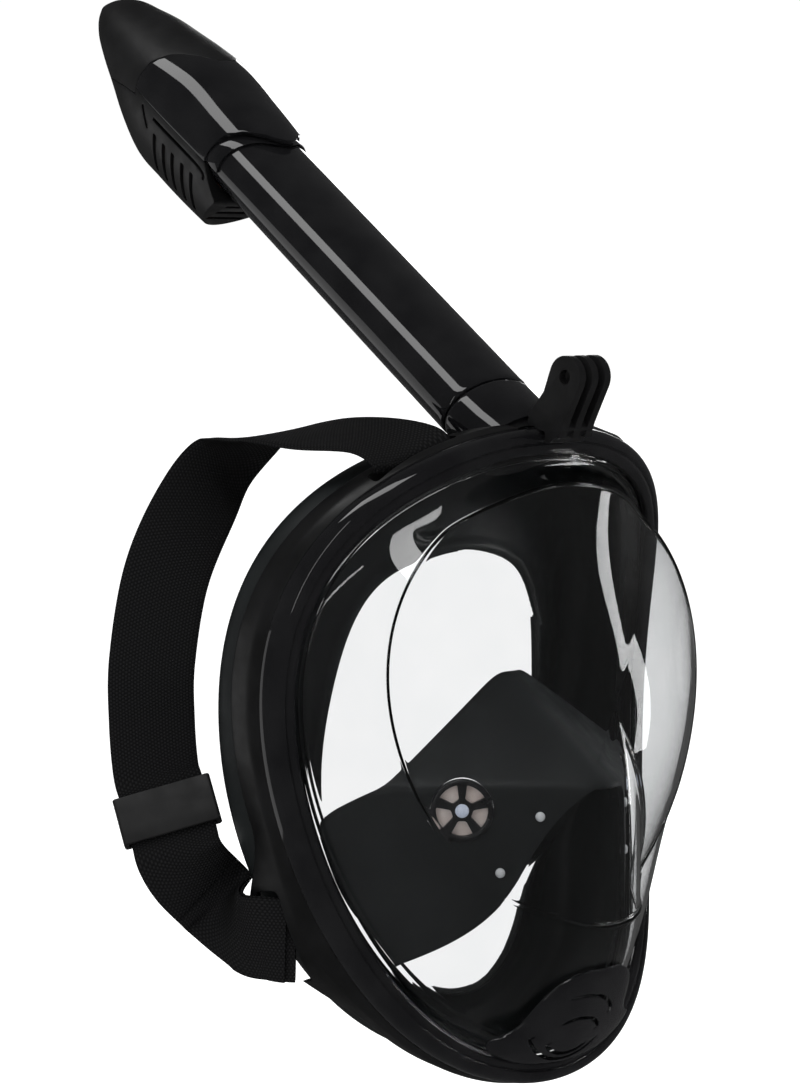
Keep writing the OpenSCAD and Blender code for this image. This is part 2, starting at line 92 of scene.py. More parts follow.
def fillet(points, radii, seg=4):
    """A closed outline with each corner rounded by its radius."""
    p = np.asarray(points, float)
    out = []
    for i in range(len(p)):
        a, b, c = p[i - 1], p[i], p[(i + 1) % len(p)]
        r = radii[i] if hasattr(radii, "__len__") else radii
        la, lc = np.linalg.norm(a - b), np.linalg.norm(c - b)
        d = min(r, 0.46 * la, 0.46 * lc)
        s, e = b + (a - b) / max(la, 1e-9) * d, b + (c - b) / max(lc, 1e-9) * d
        for k in range(seg + 1):
            u = k / seg
            out.append((1 - u) ** 2 * s + 2 * u * (1 - u) * b + u * u * e)
    return np.array(out)


def grid_faces(n, m, wrap_u, wrap_v, start=0, flip=False):
    faces = []
    for i in range(n if wrap_u else n - 1):
        for j in range(m if wrap_v else m - 1):
            i2, j2 = (i + 1) % n, (j + 1) % m
            q = (start + i * m + j, start + i * m + j2, start + i2 * m + j2, start + i2 * m + j)
            faces.append(q[::-1] if flip else q)
    return faces


def tidy(bm):
    """Joins doubled points, drops loose edges and turns the sides outwards."""
    bmesh.ops.remove_doubles(bm, verts=bm.verts, dist=2e-6)
    bmesh.ops.dissolve_degenerate(bm, dist=1e-6, edges=bm.edges)
    bmesh.ops.delete(bm, geom=[e for e in bm.edges if not e.link_faces], context="EDGES")
    bmesh.ops.recalc_face_normals(bm, faces=bm.faces)
    if bm.calc_volume(signed=True) < 0:
        bmesh.ops.reverse_faces(bm, faces=bm.faces)


def build(name, points, faces, angle=38, uv=None):
    """A mesh object from points in millimetres. Doubled points are joined and sides turned outwards."""
    mesh = bpy.data.meshes.new(name)
    mesh.from_pydata([tuple(p) for p in np.asarray(points, float) * MM], [], [tuple(f) for f in faces])
    if uv is not None:
        layer = mesh.uv_layers.new(name="UVMap")
        for loop in mesh.loops:
            layer.data[loop.index].uv = uv[loop.vertex_index]
    bm = bmesh.new()
    bm.from_mesh(mesh)
    tidy(bm)
    bm.to_mesh(mesh)
    bm.free()
    obj = bpy.data.objects.new(name, mesh)
    bpy.context.scene.collection.objects.link(obj)
    shade(obj, angle)
    return obj


def shade(obj, angle=38):
    obj.data.shade_smooth()
    obj.data.set_sharp_from_angle(angle=math.radians(angle))


def loop_piece(name, grid, angle=38):
    """A closed ring of closed outlines."""
    n, m = grid.shape[:2]
    return build(name, grid.reshape(-1, 3), grid_faces(n, m, True, True), angle)


def stack_piece(name, grid, angle=38):
    """A stack of closed outlines shut at both ends."""
    n, m = grid.shape[:2]
    faces = grid_faces(n, m, False, True) + [range(m), range((n - 1) * m, n * m)]
    return build(name, grid.reshape(-1, 3), faces, angle)


def grid_normals(g, wrap_u=False, wrap_v=False):
    def diff(a, axis, wrap):
        if wrap:
            return np.roll(a, -1, axis) - np.roll(a, 1, axis)
        return np.gradient(a, axis=axis)

    return unit(np.cross(diff(g, 0, wrap_u), diff(g, 1, wrap_v)))


def wall_piece(name, outer, inner, wrap_u=False):
    """A wall between two surfaces of the same layout, closed at its open edges."""
    n, m = outer.shape[:2]
    k = n * m
    pts = np.vstack([outer.reshape(-1, 3), inner.reshape(-1, 3)])
    faces = grid_faces(n, m, wrap_u, False) + grid_faces(n, m, wrap_u, False, k, True)

    def rim(ids):
        for a, b in zip(ids[:-1], ids[1:]):
            faces.append((a, a + k, b + k, b))

    if not wrap_u:
        for i in (0, n - 1):
            rim([i * m + j for j in range(m)])
    for j in (0, m - 1):
        col = [i * m + j for i in range(n)]
        rim(col + col[:1] if wrap_u else col)
    return build(name, pts, faces)


def lathe(name, outline, steps=64):
    """Turns a closed outline of (radius, height) about the local Z axis."""
    o = np.asarray(outline, float)
    a = np.arange(steps) * 360 / steps
    g = np.stack(
        [np.outer(cosd(a), o[:, 0]), np.outer(sind(a), o[:, 0]), np.tile(o[:, 1], (steps, 1))], -1
    )
    return loop_piece(name, g)


def prism(name, outline, low, high):
    """Stands an outline of (x, y) up between two heights."""
    o = np.asarray(outline, float)
    g = np.stack([np.column_stack([o, np.full(len(o), h)]) for h in (low, high)])
    return stack_piece(name, g)


def slab(outline, reach=60):
    """A cutting prism across the whole width, from an outline of (y, z)."""
    o = np.asarray(outline, float)
    return stack_piece("slab", np.stack([np.column_stack([np.full(len(o), x), o]) for x in (-reach, reach)]))


def block(name, size, centre):
    """A plain cutting block, used only to cut other pieces."""
    corners = np.array([[x, y, z] for x in (-1, 1) for y in (-1, 1) for z in (-1, 1)])
    faces = [(0, 1, 3, 2), (4, 6, 7, 5), (0, 4, 5, 1), (2, 3, 7, 6), (0, 2, 6, 4), (1, 5, 7, 3)]
    return build(name, corners * (np.array(size) / 2) + np.array(centre), faces)


def circle(radius, steps=64):
    a = np.arange(steps) * 360 / steps
    return np.stack([radius * cosd(a), radius * sind(a)], -1)


def bake(obj):
    graph = bpy.context.evaluated_depsgraph_get()
    mesh = bpy.data.meshes.new_from_object(obj.evaluated_get(graph))
    old = obj.data
    obj.modifiers.clear()
    obj.data = mesh
    bpy.data.meshes.remove(old)
    return obj


def cut(obj, tools, operation="DIFFERENCE", angle=38):
    for tool in tools:
        mod = obj.modifiers.new("cut", "BOOLEAN")
        mod.operation, mod.object, mod.solver = operation, tool, "MANIFOLD"
    bake(obj)
    for tool in tools:
        bpy.data.objects.remove(tool)
    shade(obj, angle)
    return obj


def bevel(obj, width, segments=2, limit=50, angle=38):
    mod = obj.modifiers.new("bevel", "BEVEL")
    mod.width, mod.segments, mod.limit_method = width * MM, segments, "ANGLE"
    mod.angle_limit = math.radians(limit)
    bake(obj)
    shade(obj, angle)
    return obj


def place(obj, matrix):
    """Moves the mesh itself, with the matrix in millimetres."""
    m = matrix.copy()
    m.translation = m.translation * MM
    obj.data.transform(m)
    return obj


def mirrored(obj, name):
    mesh = obj.data.copy()
    mesh.transform(Matrix.Scale(-1, 4, (1, 0, 0)))
    mesh.flip_normals()
    twin = bpy.data.objects.new(name, mesh)
    bpy.context.scene.collection.objects.link(twin)
    return twin


def joined(name, objs):
    """One piece from several meshes that belong together."""
    bm = bmesh.new()
    for o in objs:
        bm.from_mesh(o.data)
    mesh = bpy.data.meshes.new(name)
    bm.to_mesh(mesh)
    bm.free()
    obj = bpy.data.objects.new(name, mesh)
    bpy.context.scene.collection.objects.link(obj)
    for o in objs:
        bpy.data.objects.remove(o)
    shade(obj)
    return obj


def finished(obj, body, slot, material, *nodes):
    obj.data.materials.clear()
    obj.data.materials.append(material)
    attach(obj, body)
    if nodes:
        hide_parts(*nodes)
    return obj


# ---------------------------------------------------------------- materials
def ramp(nodes, links, source, low, high, start=0.35, end=0.65):
    node = nodes.new("ShaderNodeMapRange")
    node.inputs["From Min"].default_value, node.inputs["From Max"].default_value = start, end
    node.inputs["To Min"].default_value, node.inputs["To Max"].default_value = low, high
    links.new(source, node.inputs["Value"])
    return node.outputs["Result"]


def noise(nodes, links, coords, scale, detail):
    tex = nodes.new("ShaderNodeTexNoise")
    tex.inputs["Scale"].default_value, tex.inputs["Detail"].default_value = scale, detail
    links.new(coords, tex.inputs["Vector"])
    return tex.outputs["Fac"]


def colour_mix(nodes, links, fac, a, b):
    node = nodes.new("ShaderNodeMix")
    node.data_type = "RGBA"
    node.inputs["A"].default_value, node.inputs["B"].default_value = (*a, 1), (*b, 1)
    links.new(fac, node.inputs["Factor"])
    return node.outputs["Result"]


def plastic(name, dark, light, rough, spread, grain, depth, wave=60.0, specular=0.5):
    """Moulded plastic or silicone: slow colour drift, uneven gloss and a fine grain of real size."""
    mat = bpy.data.materials.new(name)
    mat.use_nodes = True
    nodes, links = mat.node_tree.nodes, mat.node_tree.links
    shader = nodes["Principled BSDF"]
    coords = nodes.new("ShaderNodeTexCoord").outputs["Object"]
    drift = noise(nodes, links, coords, wave, 4)
    colour = colour_mix(nodes, links, ramp(nodes, links, drift, 0, 1), dark, light)
    links.new(colour, shader.inputs["Base Color"])
    smudge = noise(nodes, links, coords, wave * 2.3, 6)
    links.new(ramp(nodes, links, smudge, rough - spread, rough + spread), shader.inputs["Roughness"])
    bump = nodes.new("ShaderNodeBump")
    bump.inputs["Distance"].default_value = depth
    bump.inputs["Strength"].default_value = 1.0
    links.new(noise(nodes, links, coords, grain, 2), bump.inputs["Height"])
    links.new(bump.outputs["Normal"], shader.inputs["Normal"])
    shader.inputs["Specular IOR Level"].default_value = specular
    return mat


def lens_material():
    clear = ((0.9, 0.91, 0.915), (0.925, 0.93, 0.935))
    mat = plastic("clear_polycarbonate", *clear, 0.012, 0.01, 900, 0.0000004)
    shader = mat.node_tree.nodes["Principled BSDF"]
    shader.inputs["Transmission Weight"].default_value = 1.0
    shader.inputs["IOR"].default_value = 1.49
    return mat


RIB_PITCH, COLUMN_PITCH = 0.0013, 0.0011


def web_material():
    """Elastic webbing: ribs across it a little over a millimetre apart, in columns that alternate."""
    mat = bpy.data.materials.new("webbing")
    mat.use_nodes = True
    nodes, links = mat.node_tree.nodes, mat.node_tree.links
    shader = nodes["Principled BSDF"]
    uv = nodes.new("ShaderNodeUVMap").outputs["UV"]
    split = nodes.new("ShaderNodeSeparateXYZ")
    links.new(uv, split.inputs["Vector"])

    def op(kind, a, b=None, c=None):
        node = nodes.new("ShaderNodeMath")
        node.operation = kind
        for i, v in enumerate((a, b, c)):
            if v is None:
                continue
            if isinstance(v, (int, float)):
                node.inputs[i].default_value = v
            else:
                links.new(v, node.inputs[i])
        return node.outputs[0]

    column = op("FLOOR", op("DIVIDE", split.outputs["Y"], COLUMN_PITCH))
    shift = op("MULTIPLY", op("MODULO", op("ABSOLUTE", column), 2.0), math.pi)
    rib = op("SINE", op("ADD", op("MULTIPLY", split.outputs["X"], 2 * math.pi / RIB_PITCH), shift))
    across = op("ABSOLUTE", op("SINE", op("MULTIPLY", split.outputs["Y"], math.pi / COLUMN_PITCH)))
    height = op("MULTIPLY", op("ADD", op("MULTIPLY", rib, 0.5), 0.5), across)
    fuzz = noise(nodes, links, nodes.new("ShaderNodeTexCoord").outputs["Object"], 2600, 3)
    both = op("ADD", height, op("MULTIPLY", fuzz, 0.35))
    # The colour follows the rib height: the grooves between the ribs get painted shade and the crests stay lighter,
    # with a random fibre tone from the fuzz mixed in
    colour = colour_mix(nodes, links, both, (0.0016, 0.0016, 0.0018), (0.009, 0.009, 0.0095))
    links.new(colour, shader.inputs["Base Color"])
    links.new(ramp(nodes, links, both, 0.95, 0.75, 0, 1), shader.inputs["Roughness"])
    bump = nodes.new("ShaderNodeBump")
    bump.inputs["Distance"].default_value = 0.00022
    bump.inputs["Strength"].default_value = 0.9
    links.new(both, bump.inputs["Height"])
    links.new(bump.outputs["Normal"], shader.inputs["Normal"])
    shader.inputs["Specular IOR Level"].default_value = 0.1
    return mat


GLOSS = plastic(
    "gloss_black_plastic", (0.004, 0.004, 0.0045), (0.0065, 0.0065, 0.007),
    0.045, 0.015, 1500, 0.0000012,
)
SATIN = plastic(
    "satin_black_plastic", (0.0035, 0.0035, 0.0037), (0.0058, 0.0058, 0.0062),
    0.36, 0.05, 3400, 0.000012, specular=0.25,
)
MATTE = plastic(
    "matte_black_plastic", (0.004, 0.004, 0.0043), (0.007, 0.007, 0.0075),
    0.5, 0.05, 2800, 0.000022, specular=0.3,
)
SILICONE = plastic(
    "slate_silicone", (0.007, 0.0082, 0.0086), (0.0105, 0.0122, 0.0126),
    0.46, 0.06, 2100, 0.000012, wave=35, specular=0.22,
)
LENS = lens_material()
WEB = web_material()
FLAP = plastic(
    "pale_silicone_flap", (0.66, 0.55, 0.5), (0.78, 0.69, 0.65),
    0.32, 0.05, 1800, 0.000008, wave=120,
)
STUD = plastic(
    "grey_stud_plastic", (0.42, 0.43, 0.44), (0.55, 0.56, 0.57),
    0.3, 0.05, 2600, 0.00001, wave=300,
)
PIN = plastic("pale_pin_silicone", (0.42, 0.47, 0.58), (0.58, 0.63, 0.74), 0.3, 0.05, 2200, 0.00001, wave=300)
PAD = plastic("dark_silicone_flap", (0.012, 0.012, 0.0125), (0.018, 0.018, 0.019), 0.4, 0.05, 2200, 0.00001)
SEAT = plastic("valve_seat_plastic", (0.006, 0.006, 0.0065), (0.01, 0.01, 0.011), 0.3, 0.05, 3000, 0.00001)
FLOAT = plastic("float_plastic", (0.62, 0.16, 0.03), (0.75, 0.22, 0.05), 0.35, 0.05, 2500, 0.000012)

# ---------------------------------------------------------------- camera, floor and light
camera_data = bpy.data.cameras.new("camera")
camera_data.lens, camera_data.sensor_width = 101.7, 36.0
camera = bpy.data.objects.new("camera", camera_data)
bpy.context.scene.collection.objects.link(camera)
right, up, look = (
    Vector((0.7431, -0.6691, 0.0)),
    Vector((0.0630, 0.0699, 0.9955)),
    Vector((0.6662, 0.7398, -0.0941)),
)
camera.matrix_world = Matrix(
    [
        [right.x, up.x, -look.x, -0.7688],
        [right.y, up.y, -look.y, -0.7719],
        [right.z, up.z, -look.z, 0.1784],
        [0, 0, 0, 1],
    ]
)
bpy.context.scene.camera = camera

FLOOR_Z, FLOOR_R = -0.42, 14.0


def floor_material():
    mat = plastic("pale_floor", (0.88, 0.88, 0.88), (0.9, 0.9, 0.9), 0.8, 0.05, 40, 0.0002, wave=2)
    shader = mat.node_tree.nodes["Principled BSDF"]
    shader.inputs["Emission Color"].default_value = (1, 1, 1, 1)
    shader.inputs["Emission Strength"].default_value = 0.4
    return mat


def make_floor():
    r, n = FLOOR_R, 48
    a = np.arange(n) * 360 / n
    pts = [[0, 0, FLOOR_Z / MM]] + [[r / MM * cosd(x), r / MM * sind(x), FLOOR_Z / MM] for x in a]
    obj = build("floor", pts, [(0, 1 + k, 1 + (k + 1) % n) for k in range(n)])
    if obj.data.polygons[0].normal.z < 0:
        obj.data.flip_normals()
    obj.data.materials.append(floor_material())
    obj.visible_glossy = False
    obj.visible_transmission = False


make_floor()

# The surroundings are darker in reflections, so that black plastic stays black
SKY, SKY_IN_GLOSS = 1.03, 0.07
world = bpy.data.worlds.new("studio")
bpy.context.scene.world = world
world.use_nodes = True
wn, wl = world.node_tree.nodes, world.node_tree.links
background = wn["Background"]
path = wn.new("ShaderNodeLightPath")
level = wn.new("ShaderNodeMapRange")
level.inputs["To Min"].default_value, level.inputs["To Max"].default_value = SKY, SKY_IN_GLOSS
wl.new(path.outputs["Glossy Depth"], level.inputs["Value"])
background.inputs["Color"].default_value = (1, 1, 1, 1)
wl.new(level.outputs["Result"], background.inputs["Strength"])
bpy.context.scene.view_settings.view_transform = "Standard"

CENTRE = Vector((0.0, 0.07, 0.06))


def softbox(name, azimuth, elevation, distance, size, power):
    """An area light on a sphere about CENTRE. Azimuth 0 is in front of the mask and grows towards +X."""
    data = bpy.data.lights.new(name, "AREA")
    data.shape, data.size, data.size_y, data.energy = "RECTANGLE", size[0], size[1], power
    obj = bpy.data.objects.new(name, data)
    bpy.context.scene.collection.objects.link(obj)
    a, e = math.radians(azimuth), math.radians(elevation)
    back = Vector((math.sin(a) * math.cos(e), -math.cos(a) * math.cos(e), math.sin(e)))
    obj.location = CENTRE + back * distance
    obj.rotation_mode = "QUATERNION"
    obj.rotation_quaternion = (-back).to_track_quat("-Z", "Y")
    return obj


# Two lights stay out of reflections, and edge_right out of the camera's view and of the lens
softbox("key_left", -93, 60, 1.6, (1.9, 0.42), 11)
softbox("low_left", -153, -12, 1.5, (0.9, 0.8), 1.6)
softbox("high_right", 98, 60, 1.6, (1.2, 1.2), 3.0).visible_glossy = False
softbox("right", 60, 12, 1.7, (0.3, 1.5), 12).visible_glossy = False
softbox("edge_left", -76, 14, 1.9, (0.07, 1.3), 1.8)
rim_light = softbox("edge_right", 133, 8, 2.2, (0.3, 1.5), 5)
rim_light.visible_camera = rim_light.visible_transmission = False

# ---------------------------------------------------------------- the face rim
RIM_W, RIM_H, RIM_EGG, RIM_SHOULDER, RIM_WRAP = 92.0, 117.0, 0.154, 0.25, 44.0
LENS_WALL, FRAME_DEPTH, WING_DEPTH = 1.3, 15.0, 17.0
SEAT_R, SEAT_HOLE_R = 11.0, 11.05
CREASE_BEAD, CREASE_BEAD_W = 0.55, 0.75
FOOT_BEAD, FOOT_BEAD_W, FOOT_BEADS_AT = 0.3, 0.014, (0.045, 0.115)


def rim_x(t):
    return RIM_W * sind(t) * (1 + RIM_EGG * cosd(t) + RIM_SHOULDER * cosd(t) ** 2)


def rim_y(t):
    return (RIM_WRAP + 11.3 * cosd(t)) * sind(t) ** 2 + 0.9 * cosd(t)


def rim_z(t):
    return RIM_H * cosd(t)


def rim_out(t):
    nx, nz = rim_z(t - 1) - rim_z(t + 1), rim_x(t + 1) - rim_x(t - 1)
    size, lean = np.hypot(nx, nz), 40.0 * sind(t) ** 2
    return np.stack(np.broadcast_arrays(nx / size * cosd(lean), sind(lean), nz / size), -1)


def rim_at(t, out, back):
    t, out, back = np.broadcast_arrays(np.asarray(t, float), out, back)
    return np.stack([rim_x(t), rim_y(t) + back, rim_z(t)], -1) + np.asarray(out)[..., None] * rim_out(t)


def rim_sweep(outline_at, steps):
    rows = []
    for t in np.arange(steps) * 360 / steps:
        o = outline_at(t)
        rows.append(rim_at(t, o[:, 0], o[:, 1]))
    return np.array(rows)


# ---------------------------------------------------------------- lens
def panel_x(t):
    return 76.0 * sind(t) * (1 + 0.14 * cosd(t) - 0.03 * cosd(t) ** 2)


def panel_z(t):
    return 21.0 + 77.0 * cosd(t)


def crease(t):
    x, z = panel_x(t), panel_z(t)
    y = 0.0009 * x**2 + 0.089 * z - 5.5 - 10 * smooth(5 * cosd(t) - 4) - 20 * smooth(-7 * cosd(t) - 6)
    return np.stack([x, y, z], -1)


def make_lens():
    steps = 288
    t = np.arange(steps) * 360 / steps
    o, c = rim_out(t), crease(t)
    start = rim_at(t, -10.2, 3.05)
    rows = [rim_at(t, -3.2, 3.05), rim_at(t, -6.5, 3.05), rim_at(t, -9.2, 3.05)]
    climb = np.concatenate([np.linspace(0, 0.2, 17), np.linspace(0.22, 0.93, 20), np.linspace(0.94, 1, 11)])
    rows += [
        mix(start, c, s) + np.stack([0 * t, 4 * s * (1 - s) * (4 - 9 * smooth(-cosd(t))), 0 * t], -1)
        for s in climb
    ]
    fold = len(rows) - 1
    dome = np.concatenate([np.linspace(0.997, 0.97, 12), np.linspace(0.96, 0.8, 12), np.linspace(0.77, 0.03, 28)])
    for q in dome:
        x, z = c[:, 0] * q, mix(22.0, c[:, 2], q)
        rows.append(np.stack([x, mix(-34 + 0.0018 * (z + 25) ** 2, c[:, 1], q**2.2), z], -1))
    g = np.array(rows)
    for _ in range(3):
        near = slice(fold - 5, fold + 6)
        g[near] = mix(g[near], (g[fold - 6 : fold + 5] + g[fold - 4 : fold + 7]) / 2, 0.5)
    n = grid_normals(g, wrap_v=True)
    n *= np.sign((n[20] * o).sum())
    # A fine bead runs along the crease, and two finer ones round the foot of the wall
    bead = CREASE_BEAD * np.exp(-((np.linalg.norm(g - g[fold], axis=-1) / CREASE_BEAD_W) ** 2))
    for at in FOOT_BEADS_AT:
        bead[3 : fold + 1] += (FOOT_BEAD * np.exp(-(((climb - at) / FOOT_BEAD_W) ** 2)))[:, None]
    g = g + n * bead[..., None]
    inside = g - n * LENS_WALL
    inside[0] = g[0] + np.stack([0 * t, 0 * t + LENS_WALL, 0 * t], -1)
    inside[1] = g[1] + np.stack([0 * t, 0 * t + LENS_WALL, 0 * t], -1)
    lens = stack_piece("lens_dome", np.concatenate([g[::-1], inside]), 60)
    hole = prism("chin_hole", circle(SEAT_HOLE_R), -30, 30)
    place(hole, CHIN)
    return cut(lens, [hole], angle=60)


CHIN = Matrix.Translation((0, -6.6, -93.3)) @ Matrix.Rotation(math.radians(119), 4, "X")
lens = finished(make_lens(), "mask", "lens", LENS, "lens")
# A look aid: the lens casts no shadow on what is behind it
lens.visible_shadow = False


# ---------------------------------------------------------------- bezel and frame
BEZEL = fillet(
    [
        [-9, 2.9], [-9, 1.3], [-8.5, 0.1], [-6.6, -1.5], [-5.0, -1.3], [-4.4, -0.9], [-3.9, -1.9], [-2.2, -2.2],
        [-0.6, -1.5], [0.5, 0.2], [0.9, 2.4], [0.9, 5], [-2.4, 5], [-2.6, 2.9],
    ],
    [0.3, 0.7, 0.9, 1.2, 0.4, 0.3, 0.6, 1.2, 1.4, 1.4, 1.2, 0.4, 0.2, 0.1],
    4,
)
finished(
    loop_piece("bezel_ring", rim_sweep(lambda t: BEZEL, 288), 50), "mask", "gloss_black", GLOSS, "front_bezel"
)


def wing(t):
    a = abs(t - 360 if t > 180 else t)
    return float(smooth(1 - abs(a - 122) / 21))


def frame_outline(t):
    w = wing(t)
    return fillet(
        [
            [1, 5.05], [2.4 + 2 * w, 9], [1.4 + 5 * w, 20 + WING_DEPTH * w],
            [-1.2 + 5 * w, 20 + WING_DEPTH * w], [-1.8 + 2 * w, 12], [-6, 9.2], [-6, 5.4], [-2.4, 5.4],
        ],
        [0.5, 3.2, 0.9, 0.9, 1.5, 0.5, 0.3, 0.3],
        4,
    )


def turn_matrix(a, b, c):
    return (
        Matrix.Rotation(math.radians(c), 3, "Z")
        @ Matrix.Rotation(math.radians(b), 3, "Y")
        @ Matrix.Rotation(math.radians(a), 3, "X")
    )


TUBE = Matrix.Translation((0, 34.7, 122.6)) @ Matrix.Rotation(math.radians(-55), 4, "X")
TUBE_W, TUBE_D, TUBE_LEN = 41.0, 29.0, 164.0


def oval(w, d, steps=96):
    a = np.arange(steps) * 360 / steps
    return np.stack([w / 2 * cosd(a), d / 2 * sind(a)], -1)


def oval_loft(name, rings, steps=128):
    """A closed tube of (width, depth, height) rings, the last one joined to the first."""
    g = np.stack([np.column_stack([oval(w, d, steps), np.full(steps, h)]) for w, d, h in rings])
    return loop_piece(name, g)


def socket_cutter(grow=0.05):
    return place(prism("socket_cutter", oval(TUBE_W + 2 * grow, TUBE_D + 2 * grow, 128), -42, 18), TUBE)


def make_frame():
    body = loop_piece("frame_ring", rim_sweep(frame_outline, 288), 50)
    tools = [socket_cutter()]
    for side in (-1, 1):
        turn = np.array(turn_matrix(-9, side * 16, 0))
        g = fillet([[-6.5, -18], [6.5, -18], [6.5, 18], [-6.5, 18]], 3.5, 6)
        rows = np.stack([np.column_stack([np.full(len(g), h), g]) for h in (-12, 12)])
        tools.append(stack_piece("slot", rows @ turn.T + np.array([side * 81.5, 54, -62.5])))
        turn = np.array(turn_matrix(0, side * 22, side * 14))
        g = fillet([[-18, -3.25], [18, -3.25], [18, 3.25], [-18, 3.25]], 2.5, 6)
        rows = np.stack([np.column_stack([g, np.full(len(g), h)]) for h in (-12, 12)])
        tools.append(stack_piece("slot", rows @ turn.T + rim_at(side * 23.0, 0, 12)))
    return cut(body, tools, angle=44)


finished(make_frame(), "mask", "satin_black", SATIN, "rear_frame")


# ---------------------------------------------------------------- skirt
def make_skirt():
    steps = 216
    rows = []
    knots = np.array([0, 1, 2, 3, 4, 5], float)
    s = np.concatenate([np.linspace(0, 1, 8, endpoint=False), np.linspace(1, 5, 52)])
    for t in np.arange(steps) * 360 / steps:
        a, b = rim_at(t, -3.0, FRAME_DEPTH + 5.5), rim_at(t, 1.0, 0)
        y = 54 + 29 * sind(t) ** 2 - 4 * smooth(-cosd(t))
        k = 1 + 0.1 * math.exp(-(((min(t, 360 - t) - 43) / 21) ** 2))
        e = np.array([53 * sind(t) * k, 48 + 17 * sind(t) ** 2, -11 + 81 * cosd(t) * k])
        turn = np.array([b[0] * 0.86, y, b[2] * 0.88])
        pts = np.array(
            [
                rim_at(t, -8.2, 10.3),
                a,
                [b[0] * 0.965, y * 0.82 + a[1] * 0.18 - 2, b[2] * 0.965],
                turn,
                mix(turn, e, 0.55) + np.array([0, 1, 0]),
                e,
            ]
        )
        rows.append(spline(knots, pts, s))
    g = np.array(rows)
    n = grid_normals(g, wrap_u=True)
    n *= np.sign((n[:, 15] * rim_out(np.arange(steps) * 360.0 / steps)).sum())
    thick = np.full(len(s), 2.0)
    thick[-6:] = [2.0, 2.1, 2.4, 2.7, 2.5, 1.6]
    skirt = wall_piece("skirt_wall", g, g - n * thick[None, :, None], wrap_u=True)
    cut(skirt, [socket_cutter()], angle=50)
    return bevel(skirt, 0.5, 3, 55, 50)


finished(make_skirt(), "mask", "silicone", SILICONE, "face_skirt")


# ---------------------------------------------------------------- nose pocket, valves and studs
SLOPE, POCKET_LOW, POCKET_WALL = 0.92, -70, 1.8
INHALE_POS = (41.3, 3.7, -14.6)
STUD_PLACES = ((21.2, -14.6, -16.8), (31.5, -5.3, -36.6))


def pocket_nose(z):
    d = (z + 6) * 1.45
    return -30 + (d + np.sqrt(d**2 + 6)) / 2 - 0.1


def pocket_side(z):
    t = np.degrees(np.arccos(z / RIM_H))
    return rim_x(t) - 10.6 - 4.6 * smooth((-40 - z) / 30)


def pocket_start(z):
    return 4.6 * np.sqrt(-5 - z) + 0.0005 * np.maximum(0, -35 - z) ** 3


def pocket_y(x, z):
    return pocket_nose(z) + SLOPE * (np.sqrt(x**2 + 25) - 5)


def make_pocket():
    i = np.linspace(-22, 22, 177)
    flat, v = np.minimum(1, np.abs(i) / 2), np.maximum(0, (np.abs(i) - 2) / 20)
    low, high = mix(-7, POCKET_LOW, v), mix(29, POCKET_LOW, v)
    reach = np.minimum(36 + 1.56 * (9.9 - high), pocket_side(high))
    edge = np.stack([np.sign(i) * flat * pocket_start(low), low, np.sign(i) * flat * reach, high], -1)
    for _ in range(14):
        edge[1:-1] = mix(edge[1:-1], (edge[:-2] + edge[2:]) / 2, 0.5)
    s = np.linspace(0, 1, 60)[None]
    x = mix(edge[:, None, 0], edge[:, None, 2], s)
    z = mix(edge[:, None, 1], edge[:, None, 3], s)
    g = np.stack([x, pocket_y(x, z), z], -1)
    n = grid_normals(g)
    n *= np.sign(n[..., 1].mean())
    whole = wall_piece("nose_pocket_wall", g, g + n * POCKET_WALL)
    tools = [
        place(prism("hole", circle(SEAT_HOLE_R), -10, 10), on_pocket(side, INHALE_POS))
        for side in (-1, 1)
    ]
    cut(whole, tools, angle=50)
    return bevel(whole, 0.6, 3, 55, 50)


def on_pocket(side, p):
    """The frame of a valve or stud whose axis is square to the pocket's side wall."""
    return (
        Matrix.Translation((side * p[0], p[1], p[2]))
        @ Matrix.Rotation(side * math.atan(SLOPE), 4, "Z")
        @ Matrix.Rotation(math.radians(90), 4, "X")
    )


finished(make_pocket(), "mask", "silicone", SILICONE, "nose_pocket")


SPOKE_TURN, HALF_SPOKE = 18.0, 11


def make_seat(name, radius, wall, count, height):
    """A ring, a hub and spokes: a disc with rounded windows cut through it."""
    disc = lathe(
        name,
        fillet(
            [[0, 0], [radius, 0], [radius, height], [radius - 1.2, height + 0.35], [radius - 2, height], [0, height]],
            [0, 0.3, 0.5, 0.5, 0.3, 0],
            3,
        ),
        96,
    )
    tools = []
    for k in range(count):
        a0 = k * 360 / count + SPOKE_TURN + HALF_SPOKE
        a1 = (k + 1) * 360 / count + SPOKE_TURN - HALF_SPOKE
        arc_out = [[(radius - wall) * cosd(a), (radius - wall) * sind(a)] for a in np.linspace(a0, a1, 10)]
        arc_in = [[radius * 0.36 * cosd(a), radius * 0.36 * sind(a)] for a in (a1 - 4, a0 + 4)]
        corners = arc_out + arc_in
        tools.append(prism("window", fillet(corners, [1.3] + [0.2] * 8 + [1.3, 0.7, 0.7], 3), -1, height + 1))
    cut(disc, tools)
    return bevel(disc, 0.22, 2, 55)


